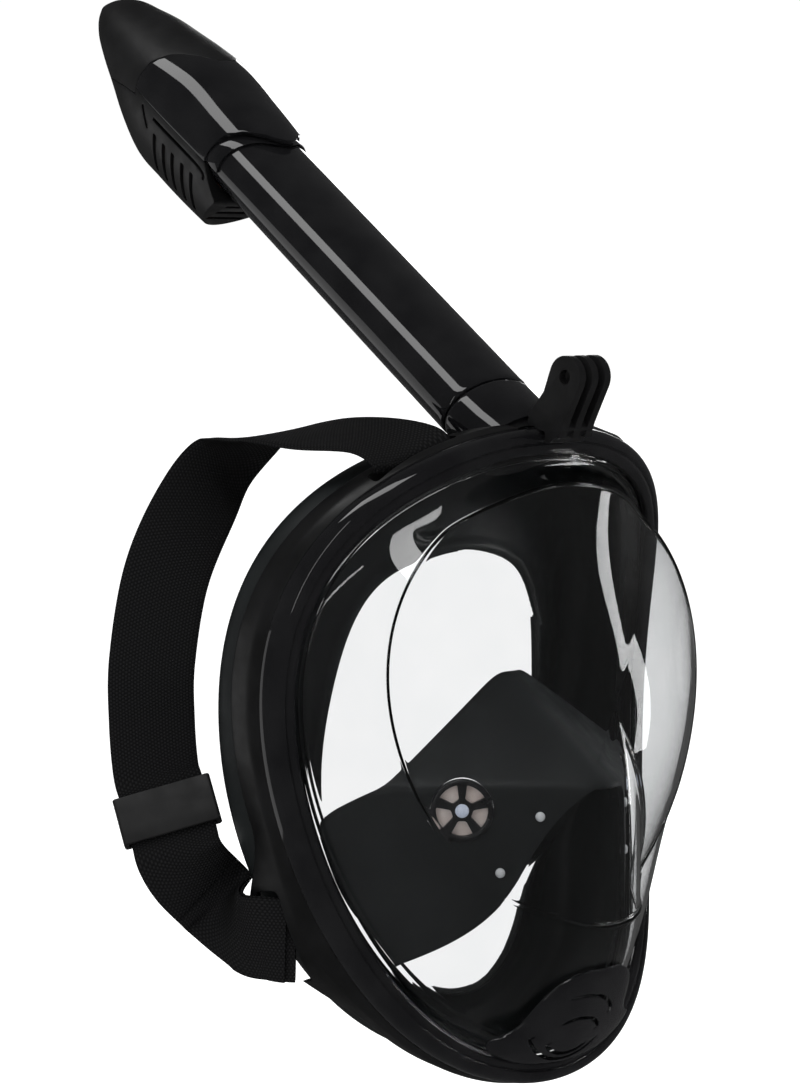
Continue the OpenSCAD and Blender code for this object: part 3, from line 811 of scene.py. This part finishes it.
for side, word in ((-1, "right"), (1, "left")):
    at = on_pocket(side, INHALE_POS)
    seat = place(make_seat("inhale_seat_" + word, SEAT_R, 1.9, 5, 2.4), at @ Matrix.Translation((0, 0, -1.5)))
    finished(seat, "mask", "valve_black", SEAT, "inhale_valve_seat_" + word)
    flap = lathe(
        "inhale_flap_" + word,
        fillet([[0, -2.3], [10, -2.3], [10, -1.9], [9.2, -1.62], [3, -1.6], [2.6, -1.6], [0, -1.6]], 0.15, 3),
        72,
    )
    pin = lathe(
        "pin",
        fillet([[0, -1.7], [1.2, -1.7], [1.2, 1.0], [2.5, 1.15], [2.3, 1.75], [1.2, 2.1], [0, 2.15]], 0.3, 3),
        48,
    )
    place(flap, at)
    place(pin, at)
    body = "inhale_flap_" + word
    finished(flap, body, "flap", FLAP, "inhale_valve_disc_" + word)
    pin.name = "inhale_pin_" + word
    finished(pin, body, "flap", PIN)

studs = []
for side in (-1, 1):
    for p in STUD_PLACES:
        outline = fillet([[0, -2], [1.7, -2], [1.7, 0.7], [1.1, 1.25], [0, 1.35]], [0, 0.2, 0.4, 0.4, 0], 4)
        s = lathe("stud", outline, 40)
        studs.append(place(s, on_pocket(side, p)))
finished(joined("pocket_stud_set", studs), "mask", "stud_grey", STUD, "pocket_studs")


# ---------------------------------------------------------------- chin valve and cover
seat = place(make_seat("chin_seat", SEAT_R, 2.0, 4, 3.0), CHIN)
finished(seat, "mask", "valve_black", SEAT, "chin_valve_seat")
disc_outline = fillet([[0, 3.2], [10, 3.2], [10, 3.7], [8, 4], [0, 4]], [0, 0.2, 0.2, 0.3, 0], 3)
disc = place(lathe("chin_disc", disc_outline, 72), CHIN)
finished(disc, "chin_flap", "flap", PAD, "chin_valve_disc")
CHIN_SIDE = np.array(
    [
        [0, -72.3], [8, -72.4], [15, -74.8], [20, -79.3], [23, -84.9], [26, -91.4], [30.4, -94.9], [34.6, -97],
        [32, -102], [21, -107.4], [12, -109], [0, -110],
    ]
)
# Arcs cut in the cover, as (centre x, centre y, radius, start angle, end angle)
CHIN_SLOTS = (
    (-5, -5, 22, 32, 108), (-2.5, -9, 15.4, 36, 120), (-2, 5, 14.7, 222, 308), (-3, 9, 21.2, 210, 318),
)
# The cover's section from its middle out over the front and back behind it, as (part of the outline, height)
COVER_RINGS = (
    (0.04, 2.8), (0.2, 2.8), (0.36, 2.8), (0.5, 2.78), (0.64, 2.72), (0.76, 2.65), (0.85, 2.52), (0.91, 2.3),
    (0.955, 1.95), (0.985, 1.4), (1, 0.7), (1, 0.1), (0.99, 0), (0.94, 0), (0.9, 0.5), (0.84, 0.9), (0.7, 1.0),
    (0.5, 1.1), (0.2, 1.1), (0.04, 1.1),
)


def make_cover():
    side = catmull(CHIN_SIDE, np.linspace(0, 10.999, 120))
    outline = np.vstack([side, side[:0:-1] * [-1, 1]])
    rings = []
    for q, lift in COVER_RINGS:
        x, z = outline[:, 0] * q, mix(-94.0, outline[:, 1], q)
        rings.append(np.stack([x, -24.5 - 0.558 * (z + 72.5) + 0.007 * x**2 - lift, z], -1))
    cover = stack_piece("chin_bell", np.array(rings))
    tools = []
    for cx, cy, r, a0, a1 in CHIN_SLOTS:
        a = np.linspace(a0, a1, 26)
        line = np.stack([cx + r * cosd(a), cy + r * sind(a)], -1)
        end = line[0] + (np.array([cx, cy]) - line[0]) / r * 2.2
        line = np.vstack([end, mix(end, line[0], 0.6), line])
        side_dir = grid_line_normals(line)
        width = 0.8 * np.sqrt(np.clip(1 - np.linspace(-1, 1, len(line)) ** 8, 0.1, 1))[:, None]
        o = np.vstack([line + side_dir * width, (line - side_dir * width)[::-1]])
        tools.append(place(prism("arc", o, 2, 26), CHIN))
    cut(cover, tools)
    return bevel(cover, 0.35, 3, 50)


def grid_line_normals(line):
    d = unit(np.gradient(line, axis=0))
    return np.stack([-d[:, 1], d[:, 0]], -1)


finished(make_cover(), "mask", "gloss_black", GLOSS, "chin_cover")

# ---------------------------------------------------------------- camera mount
MOUNT = Matrix.Translation((0, -4.5, 118.5)) @ Matrix.Rotation(math.radians(24), 4, "X")


PRONG_R, PRONG_UP, PRONG_PITCH, PRONG_HALF, BOLT_R = 7.5, 19, 6.2, 1.5, 2.6


def make_mount():
    a = np.linspace(0, 180, 25)
    head = [[PRONG_R * cosd(x), PRONG_UP + PRONG_R * sind(x)] for x in a]
    outline = head + [[-6.8, 10], [-6.4, 4], [-6.6, -1.5], [6.0, -3.5], [11.5, -1.0], [9.0, 4.5], [7.3, 10]]
    hole = np.array([[BOLT_R * cosd(x), PRONG_UP + BOLT_R * sind(x)] for x in np.arange(40) * 9])
    prongs = []
    for k in (-1, 0, 1):
        o, mid = np.array(outline), k * PRONG_PITCH
        g = np.stack([np.column_stack([np.full(len(o), x), o]) for x in (mid - PRONG_HALF, mid + PRONG_HALF)])
        prongs.append(stack_piece("prong", g))
    bore = stack_piece("bore", np.stack([np.column_stack([np.full(len(hole), x), hole]) for x in (-20, 20)]))
    for p in prongs:
        place(p, MOUNT)
    place(bore, MOUNT)
    clip = fillet(
        [[-11.5, 117.5], [-7, 114], [-5, 112.4], [-2.9, 112.4], [-2.5, 116.6], [-0.8, 118.3], [6, 118.3], [6, 120.6],
         [3, 124], [-9, 121.5]],
        [0.8, 1, 0.6, 0.3, 0.6, 0.8, 0.4, 0.8, 1.5, 1.5],
        4,
    )
    g = np.stack([np.column_stack([np.full(len(clip), x), clip]) for x in (-7.7, 7.7)])
    foot = stack_piece("foot", g)
    cut(foot, prongs, "UNION")
    cut(foot, [bore])
    foot.name = "camera_clip"
    return bevel(foot, 0.5, 3, 50)


finished(make_mount(), "camera_clip", "matte_black", MATTE, "camera_mount")

# ---------------------------------------------------------------- socket, tube and collar
W, D = TUBE_W, TUBE_D
PW, PD = W - 7, D - 7


def make_socket():
    rings = [
        (W, D, -22), (W, D, -12), (W, D, -2.2), (W - 0.3, D - 0.3, -1.2), (W - 1.0, D - 1.0, -0.72),
        (W - 1.8, D - 1.8, -0.6),
        (PW + 3.4, PD + 3.4, -0.6), (PW + 2.4, PD + 2.4, -0.9), (PW + 2, PD + 2, -1.6), (PW + 2, PD + 2, -17),
        (PW - 3, PD - 3, -17), (PW - 3, PD - 3, -22),
    ]
    socket = place(oval_loft("tube_socket_ring", rings), TUBE)
    cut(socket, [block("front", (100, 46.5, 100), (0, -16.75, 110))])
    return bevel(socket, 0.3, 2, 55)


finished(make_socket(), "mask", "gloss_black", GLOSS, "tube_socket")
gasket = oval_loft(
    "gasket_ring",
    [
        (PW, PD, -13), (PW + 1.2, PD + 1.2, -13), (PW + 1.9, PD + 1.9, -12.2), (PW + 1.4, PD + 1.4, -11.2),
        (PW + 1.9, PD + 1.9, -10), (PW + 1.9, PD + 1.9, -8.6), (PW + 1.2, PD + 1.2, -8), (PW, PD, -8),
    ],
    96,
)
finished(place(gasket, TUBE), "snorkel", "silicone", SILICONE, "socket_gasket")


def make_tube():
    rings = [(PW - 4, PD - 4, TUBE_LEN), (W - 1.2, D - 1.2, TUBE_LEN), (W, D, TUBE_LEN - 0.8)]
    rings += [(W, D, h) for h in np.linspace(TUBE_LEN - 2, 3, 24)]
    rings += [
        (W, D, 1.6), (W - 0.3, D - 0.3, 0.7), (W - 0.9, D - 0.9, 0.15), (W - 1.7, D - 1.7, 0), (PW, PD, 0),
        (PW, PD, -15.4),
        (PW - 1, PD - 1, -16), (PW - 4, PD - 4, -16),
    ]
    return place(oval_loft("snorkel_barrel", rings, 160), TUBE)


finished(make_tube(), "snorkel", "gloss_black", GLOSS, "snorkel_tube")
# Joint lines of the head seen from its side, as (y, height along the tube)
SEAM = [
    [-40, 192], [-22.2, 197.5], [-20.5, 203], [-18, 208], [-15, 212], [-9, 215.7], [0, 216.4], [5.2, 215.2],
    [7.2, 223.7], [10.8, 234], [15, 243], [40, 262],
]
SHELL_END = [
    [-40, 146.5], [-18.2, 146.5], [-17.2, 152.7], [-14.7, 158.5], [-10.5, 162], [-6, 163.3], [0, 164], [8, 164],
]
SPLIT_Y = 3.0


def make_collar():
    ring = oval_loft(
        "head_collar_ring",
        [(W + 0.1, D + 0.1, 145), (W + 2, D + 2, 145), (W + 2, D + 2, 163.9), (W + 0.1, D + 0.1, 163.9)],
        128,
    )
    keep = fillet(
        [[-40, 147], [-15.8, 147], [-13.7, 152.5], [-10, 155], [-4, 156], [2.9, 156], [2.9, 200], [-40, 200]],
        [0, 0.5, 3, 4, 4, 0, 0, 0],
        5,
    )
    cut(ring, [slab(keep)], "INTERSECT")
    return bevel(ring, 0.3, 2, 50)


finished(place(make_collar(), TUBE), "snorkel", "gloss_black", GLOSS, "head_collar")

# ---------------------------------------------------------------- dry-top head
STATIONS = np.array(
    [
        [143, 20, 17.4, 32.8], [157, 21.5, 19.3, 34.6], [175, 22.5, 21, 35.9], [200, 23, 22.4, 36.4],
        [215, 22.5, 20.6, 36],
        [228, 21.2, 18.4, 31], [240, 19, 16.5, 24.4], [252, 16.4, 13.4, 18.2], [262, 12.6, 10.5, 13.4],
        [269, 8, 5.8, 9.6], [272.5, 4.4, 2, 6.6], [274, 1.2, 0.4, 4],
    ],
    float,
)


def head_at(a, w, inset=0.0):
    a, w = np.broadcast_arrays(np.asarray(a, float), np.asarray(w, float))
    half, front, back = np.moveaxis(spline(STATIONS[:, 0], STATIONS[:, 1:], np.clip(w, 143, 274)), -1, 0)
    behind = sind(a) > 0
    x = (half - inset) * cosd(a) * np.where(behind, 1 - 0.16 * sind(a) ** 2, 1)
    y = np.where(behind, back - inset, front - inset) * sind(a)
    return np.stack([x, y, w], -1)


def split_angle(w):
    back = spline(STATIONS[:, 0], STATIONS[:, 3], np.clip(w, 143, 274))
    return np.degrees(np.arcsin(np.clip((SPLIT_Y - 0.1) / back, -1, 1)))


def line_w(line, angle_of, start, gap=0.0):
    """The height at which each angle of the head's surface meets a joint line."""
    line = np.array(line)
    w = np.full_like(angle_of(np.array(start)), start)
    for _ in range(40):
        w = mix(w, np.interp(head_at(angle_of(w), w)[..., 1], line[:, 0], line[:, 1]) + gap, 0.4)
    return w


def make_shell():
    v = np.linspace(-1, 1, 161)

    def angle_of(w):
        return -90 + v * (90 + split_angle(w))

    top, low = line_w(SEAM, angle_of, 210.0, -0.15), line_w(SHELL_END, angle_of, 160.0)
    w = mix(low[None], top[None], np.linspace(0, 1, 60)[:, None])
    a = -90 + v[None] * (90 + split_angle(w))
    shell = wall_piece("head_shell_front", head_at(a, w), head_at(a, w, 1.7))
    room = prism("collar_room", oval(W + 2.2, D + 2.2, 128), 100, 164.05)
    cut(shell, [room])
    return bevel(shell, 0.4, 3, 50)


TIP_SHRINK = 0.9


def make_tip():
    a = np.arange(180) * 2.0 - 180
    low = line_w(SEAM, lambda w: a + 0 * w, 216.0, 0.15)
    f = (1 - (1 - np.linspace(0, 1, 70)) ** 1.6)[:, None]
    w = low[None] + (274 - low[None]) * f
    outer = head_at(np.broadcast_to(a, w.shape), w)
    inner = outer.copy()
    inner[..., :2] *= TIP_SHRINK
    g = np.concatenate([outer[::-1][:-1], outer[:1], inner[:-8]])
    return bevel(stack_piece("head_tip_cap", g, 50), 0.4, 3, 55, 50)


def make_housing():
    w, a = np.linspace(143, 262, 64), np.arange(144) * 2.5 - 180
    outer = stack_piece("vent_housing_back", head_at(a[None], w[:, None]))
    slope = math.tan(math.radians(36))

    def side(lift):
        return [
            [3.1, 300], [3.1, 163.5 + lift], [12, 156 + lift], [14.4, 152.9 + lift],
            [60, 152.9 + lift + 45.6 * slope], [60, 300],
        ]

    keep = fillet(side(0), [0, 2, 3, 2.5, 0, 0], 5)
    cut(outer, [slab(keep)], "INTERSECT")
    inner = stack_piece("hollow", head_at(a[None], w[1:, None], 2.0))
    cut(inner, [slab(side(3))], "INTERSECT")
    seam = slab([[y, h - 0.15] for y, h in SEAM] + [[40, 320], [-40, 320]])
    room = prism("tube_room", oval(W + 0.3, D + 0.3, 128), 100, 164.05)
    cut(outer, [inner, seam, room])
    tools = []
    for h in (168.5, 175, 182, 188.5, 195.5):
        o = fillet([[12, h - 0.2], [28.3, h - 1.2], [28.3, h + 1.2], [12, h + 2.2]], 0.9, 4)
        tools.append(slab(o))
    for y in (18, 23, 28):
        tools.append(block("grille", (18, 1.8, 32), (0, y + 0.9, 156)))
    for sgn in (-1, 1):
        for path in (
            [[6.7, 199.6], [6.9, 166.4], [10.2, 161.8]],
            [[5.8, 208.5], [12.9, 202.3]],
        ):
            line = catmull(np.array(path), np.linspace(0, len(path) - 1.001, 16))
            d = grid_line_normals(line) * 0.75
            o = np.vstack([line + d, (line - d)[::-1]])
            g = np.stack([np.column_stack([np.full(len(o), x0), o]) for x0 in (sgn * 20.0, sgn * 40.0)])
            tools.append(stack_piece("groove", g))
    cut(outer, tools)
    return bevel(outer, 0.3, 2, 50)


finished(place(make_shell(), TUBE), "snorkel", "gloss_black", GLOSS, "head_shell")
finished(place(make_tip(), TUBE), "snorkel", "matte_black", MATTE, "head_tip")
finished(place(make_housing(), TUBE), "snorkel", "matte_black", SATIN, "vent_housing")

FLOAT_AXIS = TUBE @ Matrix.Translation((0, 22, 0))
EXHAUST_AXIS = TUBE @ Matrix.Translation((0, -7, 0))
float_body = lathe("float_body", fillet([[0, 172], [6.5, 172], [6.5, 186], [0, 186]], [0, 1.2, 1.2, 0], 5))
finished(place(float_body, FLOAT_AXIS), "float_unit", "float_orange", FLOAT, "float")
pad_outline = fillet([[0, 186], [6, 186], [6, 187.2], [5.2, 187.5], [0, 187.5]], [0, 0.3, 0.3, 0.2, 0], 3)
finished(place(lathe("float_pad", pad_outline), FLOAT_AXIS), "float_unit", "silicone", SILICONE, "float_seal")
flap_outline = fillet([[0, 198.1], [5.5, 198.1], [5.5, 198.6], [4, 198.9], [0, 198.9]], [0, 0.2, 0.2, 0.3, 0], 3)
flap = place(lathe("exhaust_flap_disc", flap_outline), EXHAUST_AXIS)
finished(flap, "exhaust_flap", "flap", PAD, "exhaust_flap")
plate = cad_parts["valve_plate"]
plate.data.materials.clear()
plate.data.materials.append(SEAT)

# ---------------------------------------------------------------- straps and adjusters
STRAP_W, STRAP_T = 31.0, 1.6
FOLD_T, FOLD_LIFT, FOLD_INSET = 1.4, -1.55, 0.3
ADJUSTER_POS, ADJUSTER_TURN = (-100.2, 95.2, -20.3), (-0.112, -0.539, -0.834)
ROUTE = np.array(
    [
        [[-48, 21.6, 104], [-0.9, 0.24, -0.36]],
        [[-48.5, 22.6, 110], [-0.9, 0.2, -0.36]],
        [[-52, 36, 115], [-0.9, -0.2, -0.33]],
        [[-58, 60, 115], [-0.86, -0.42, -0.28]],
        [[-61, 86, 113], [-0.82, -0.5, 0.05]],
        [[-64.5, 103.6, 104.4], [-0.84, -0.1, 0.5]],
        [[-77.7, 105.5, 88.3], [-0.82, 0.35, 0.45]],
        [[-93.1, 103.8, 63.8], [-0.76, 0.6, 0.25]],
        [[-99.7, 104.1, 33.3], [-0.74, 0.67, 0.05]],
        [[-98.4, 106.2, 10.7], [-0.76, 0.62, -0.1]],
        [[-98.3, 104.3, -6.2], [-0.78, 0.58, -0.25]],
        [[-99.2, 99.8, -13.3], [-0.78, 0.58, -0.25]],
        [[-101.1, 90.5, -27.4], [-0.78, 0.58, -0.25]],
        [[-102.1, 86, -34.4], [-0.78, 0.58, -0.25]],
        [[-96.9, 85.3, -42.4], [-0.66, 0.42, -0.56]],
        [[-85.5, 84.3, -53.7], [-0.4, 0.2, -0.9]],
        [[-87, 70, -62], [0.12, -0.12, -0.98]],
        [[-85, 57.5, -62.5], [0.22, -0.14, -0.95]],
        [[-79, 49, -63], [0.24, -0.14, -0.95]],
    ],
    float,
)


def strap_band(name, start, stop, lift, thick, width=STRAP_W, count=260):
    """A band along the route from one station to another, raised off its middle line by lift."""
    s = np.linspace(start, stop, count)
    p, w = catmull(ROUTE[:, 0], s), unit(catmull(ROUTE[:, 1], s))
    d = unit(np.gradient(p, axis=0))
    n = unit(np.cross(d, w))
    w = unit(np.cross(n, d))
    along = np.concatenate([[0], np.cumsum(np.linalg.norm(np.diff(p, axis=0), axis=1))])
    a = np.concatenate([np.linspace(-1, 1, 22), np.linspace(1, -1, 22)])
    face = np.concatenate([np.ones(22), -np.ones(22)])
    edge = np.clip((1 - np.abs(a)) * width / 2 / 0.9, 0, 1)
    high = face * thick / 2 * np.sqrt(1 - (1 - edge) ** 2 * 0.85)
    g = p[:, None] + w[:, None] * (a * width / 2)[None, :, None] + n[:, None] * (lift + high)[None, :, None]
    k, m = g.shape[:2]
    uv = np.stack([np.repeat(along * MM, m), np.tile(a * width / 2 * MM + 0.05, k)], -1)
    pts = np.vstack([g.reshape(-1, 3), g[0].mean(0), g[-1].mean(0)])
    uv = np.vstack([uv, [0, 0.05], [along[-1] * MM, 0.05]])
    faces = grid_faces(k, m, False, True)
    faces += [(k * m, (j + 1) % m, j) for j in range(m)]
    faces += [(k * m + 1, (k - 1) * m + j, (k - 1) * m + (j + 1) % m) for j in range(m)]
    return build(name, pts, faces, 50, uv=uv)


band = strap_band("strap_band_right", 0, 18, 0, STRAP_T)
fold = strap_band(
    "strap_fold_right", 14.55, 17.6, FOLD_LIFT, FOLD_T, STRAP_W - FOLD_INSET, 90
)
twin, twin_fold = mirrored(band, "strap_band_left"), mirrored(fold, "strap_fold_left")
finished(band, "mask", "webbing", WEB, "strap_right")
finished(fold, "mask", "webbing", WEB)
finished(twin, "mask", "webbing", WEB, "strap_left")
finished(twin_fold, "mask", "webbing", WEB)


def make_adjuster():
    z = unit(ADJUSTER_TURN)
    x = np.array([-0.78, 0.58, -0.25])
    x = unit(x - (x @ z) * z)
    y = np.cross(z, x)
    a, b = (STRAP_W + 5) / 2, 3.0
    outer = fillet([[-a, -b], [a, -b], [a, b], [-a, b]], 1.3, 6)
    inner = fillet([[-a + 1.9, -1.75], [a - 1.9, -1.75], [a - 1.9, 1.75], [-a + 1.9, 1.75]], 0.6, 6)
    rows = [np.column_stack([o, np.full(len(o), h)]) for o, h in
            ((outer, -9), (outer, -3), (outer, 3), (outer, 9), (inner, 9), (inner, 3), (inner, -3), (inner, -9))]
    obj = loop_piece("adjuster", np.stack(rows))
    bevel(obj, 0.5, 3, 50)
    m = Matrix(np.column_stack([x, y, z]).tolist()).to_4x4()
    m.translation = Vector(ADJUSTER_POS)
    return place(obj, m)


keeper = make_adjuster()
keeper.name = "strap_keeper_right"
keeper_twin = mirrored(keeper, "strap_keeper_left")
finished(keeper, "adjuster_right", "matte_black", MATTE, "adjuster_right")
finished(keeper_twin, "adjuster_left", "matte_black", MATTE, "adjuster_left")
